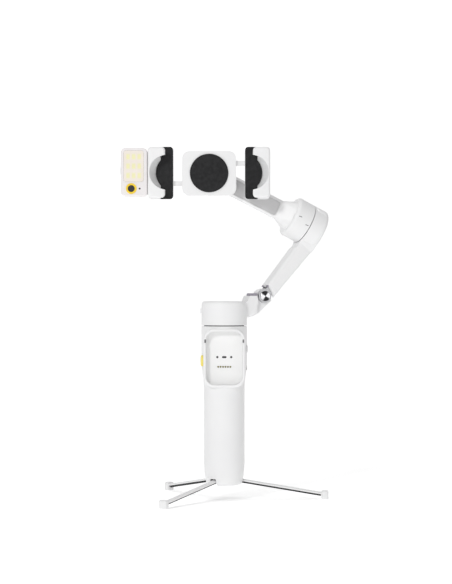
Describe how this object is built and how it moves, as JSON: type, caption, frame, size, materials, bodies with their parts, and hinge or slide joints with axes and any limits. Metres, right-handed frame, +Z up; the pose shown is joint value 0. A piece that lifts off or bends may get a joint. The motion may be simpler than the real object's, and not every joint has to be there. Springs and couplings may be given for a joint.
{
  "type": "smartphone gimbal stabilizer",
  "caption": "Handheld stabilizer for a smartphone with pan, tilt and roll motors, a folding arm, centring jaws, a clip-on light and camera module, and a fold-out tripod.",
  "frame": {"origin": "on the floor under the pan axis, which is also the bottom centre of the bounding box", "axes": "+Z up, +X to the right of a user who faces the phone's screen, +Y away from that user"},
  "size_m": [0.1697, 0.1414, 0.286],
  "materials": {
    "white_satin_plastic": "satin",
    "dock_plastic": "satin",
    "leg_white": "satin",
    "black_rubber": "matte",
    "grey_rubber": "matte",
    "black_plastic": "fine grain",
    "yellow_plastic": "gloss",
    "grey_plastic": "satin",
    "gold_contact": "polished",
    "rod_alloy": "anodised",
    "bright_steel": "spun",
    "steel": "brushed",
    "motor_steel": "plated",
    "stator_laminate": "varnished",
    "gear_plastic": "plain",
    "battery_wrap": "shrink wrap",
    "board_green": "solder mask",
    "light_diffuser": "translucent",
    "lens_glass": "polished"
  },
  "bodies": {
    "handle": {"grip_front_shell": "white_satin_plastic", "grip_back_shell": "white_satin_plastic", "dock_floor": "dock_plastic", "dock_contacts": "gold_contact", "dock_locators": "black_plastic", "dock_catches": "black_plastic", "main_board": "board_green", "battery_pack": "battery_wrap", "usb_port": "black_plastic", "rod_outer_tube": "rod_alloy", "tripod_hub": "black_plastic", "leg_pins": "steel", "hub_screws": "steel"},
    "power_button": {"power_button": "yellow_plastic"},
    "release_button": {"release_button": "white_satin_plastic"},
    "rod_1": {"rod_stage_1": "rod_alloy"},
    "rod_2": {"rod_stage_2": "rod_alloy"},
    "rod_3": {"rod_stage_3": "rod_alloy", "pan_motor_base": "black_plastic", "pan_motor_stator": "stator_laminate"},
    "pan_head": {"pan_housing": "white_satin_plastic", "pan_top_cap": "white_satin_plastic", "pan_motor_rotor": "motor_steel", "fold_stop_pad": "grey_rubber", "fold_latch": "white_satin_plastic"},
    "arm": {"arm_shell": "white_satin_plastic", "fold_fork": "steel", "fold_hinge_pin": "bright_steel", "fold_hinge_caps": "bright_steel", "arm_stop_strips": "black_rubber", "tilt_motor_stator": "stator_laminate"},
    "tilt_arm": {"tilt_arm": "white_satin_plastic", "tilt_arm_cover": "white_satin_plastic", "tilt_motor_rotor": "motor_steel", "roll_back_cap": "white_satin_plastic", "roll_motor_stator": "stator_laminate"},
    "clamp": {"clamp_base": "white_satin_plastic", "clamp_pad": "black_rubber", "clamp_rails": "steel", "roll_motor_rotor": "motor_steel", "clamp_spring_left": "steel", "clamp_spring_right": "steel"},
    "clamp_pinion": {"clamp_pinion": "gear_plastic"},
    "jaw_left": {"jaw_left": "white_satin_plastic", "jaw_left_pad": "black_rubber", "tracker_dock": "white_satin_plastic"},
    "jaw_right": {"jaw_right": "white_satin_plastic", "jaw_right_pad": "black_rubber"},
    "tracker": {"tracker_housing": "white_satin_plastic", "tracker_led_board": "board_green", "tracker_light": "light_diffuser", "tracker_lens_ring": "yellow_plastic", "tracker_lens": "lens_glass"},
    "tracker_button": {"tracker_button": "grey_plastic"},
    "leg_1": {"leg_1": "leg_white", "leg_rail_1": "black_rubber"},
    "leg_2": {"leg_2": "leg_white", "leg_rail_2": "black_rubber"},
    "leg_3": {"leg_3": "leg_white", "leg_rail_3": "black_rubber"}
  },
  "joints": [
    {"name": "power_button_press", "type": "slide", "parent": "handle", "child": "power_button", "axis": [1, 0, 0], "range_m": [0, 0.0009], "stiffness_N_per_m": 400, "springref_m": -0.0004},
    {"name": "release_button_press", "type": "slide", "parent": "handle", "child": "release_button", "axis": [-1, 0, 0], "range_m": [0, 0.0008], "stiffness_N_per_m": 400, "springref_m": -0.0004},
    {"name": "rod_1_extend", "type": "slide", "parent": "handle", "child": "rod_1", "axis": [0, 0, 1], "range_m": [0, 0.066]},
    {"name": "rod_2_extend", "type": "slide", "parent": "rod_1", "child": "rod_2", "axis": [0, 0, 1], "range_m": [0, 0.066]},
    {"name": "rod_3_extend", "type": "slide", "parent": "rod_2", "child": "rod_3", "axis": [0, 0, 1], "range_m": [0, 0.066]},
    {"name": "pan", "type": "hinge", "parent": "rod_3", "child": "pan_head", "pos_m": [0, 0, 0.1509], "axis": [0, 0, 1], "range_deg": [-160, 160]},
    {"name": "arm_fold", "type": "hinge", "parent": "pan_head", "child": "arm", "pos_m": [0.0309, 0.00974, 0.165], "axis": [-0.3007, 0.9537, 0], "range_deg": [0, 130]},
    {"name": "tilt", "type": "hinge", "parent": "arm", "child": "tilt_arm", "pos_m": [0.06628, 0.0209, 0.2245], "axis": [0.8535, 0.2691, -0.4462], "range_deg": [-100, 100]},
    {"name": "roll", "type": "hinge", "parent": "tilt_arm", "child": "clamp", "pos_m": [-0.0123, 0, 0.2648], "axis": [0, 1, 0], "range_deg": [-110, 150]},
    {"name": "jaw_right_slide", "type": "slide", "parent": "clamp", "child": "jaw_right", "axis": [1, 0, 0], "range_m": [-0.005, 0.006], "deforming": ["clamp_spring_right"]},
    {"name": "jaw_left_slide", "type": "slide", "parent": "clamp", "child": "jaw_left", "axis": [-1, 0, 0], "range_m": [-0.005, 0.006], "deforming": ["clamp_spring_left"]},
    {"name": "pinion_spin", "type": "hinge", "parent": "clamp", "child": "clamp_pinion", "pos_m": [-0.0123, 0, 0.2648], "axis": [0, 1, 0], "range_deg": [-58.3, 69.75]},
    {"name": "tracker_pull_off", "type": "slide", "parent": "jaw_left", "child": "tracker", "axis": [-1, 0, 0], "range_m": [0, 0.03]},
    {"name": "tracker_button_press", "type": "slide", "parent": "tracker", "child": "tracker_button", "axis": [1, 0, 0], "range_m": [0, 0.0008], "stiffness_N_per_m": 400, "springref_m": -0.0004},
    {"name": "leg_1_fold", "type": "hinge", "parent": "handle", "child": "leg_1", "pos_m": [0.01, 0, 0.0156], "axis": [0, 1, 0], "range_deg": [0, 80]},
    {"name": "leg_2_fold", "type": "hinge", "parent": "handle", "child": "leg_2", "pos_m": [-0.00574, 0.00819, 0.0156], "axis": [-0.8192, -0.5736, 0], "range_deg": [0, 80]},
    {"name": "leg_3_fold", "type": "hinge", "parent": "handle", "child": "leg_3", "pos_m": [-0.00574, -0.00819, 0.0156], "axis": [0.8192, -0.5736, 0], "range_deg": [0, 80]}
  ],
  "couplings": [
    {"joint": "jaw_left_slide", "follows": "jaw_right_slide", "ratio": 1},
    {"joint": "pinion_spin", "follows": "jaw_right_slide", "rad_per_m": 200}
  ]
}
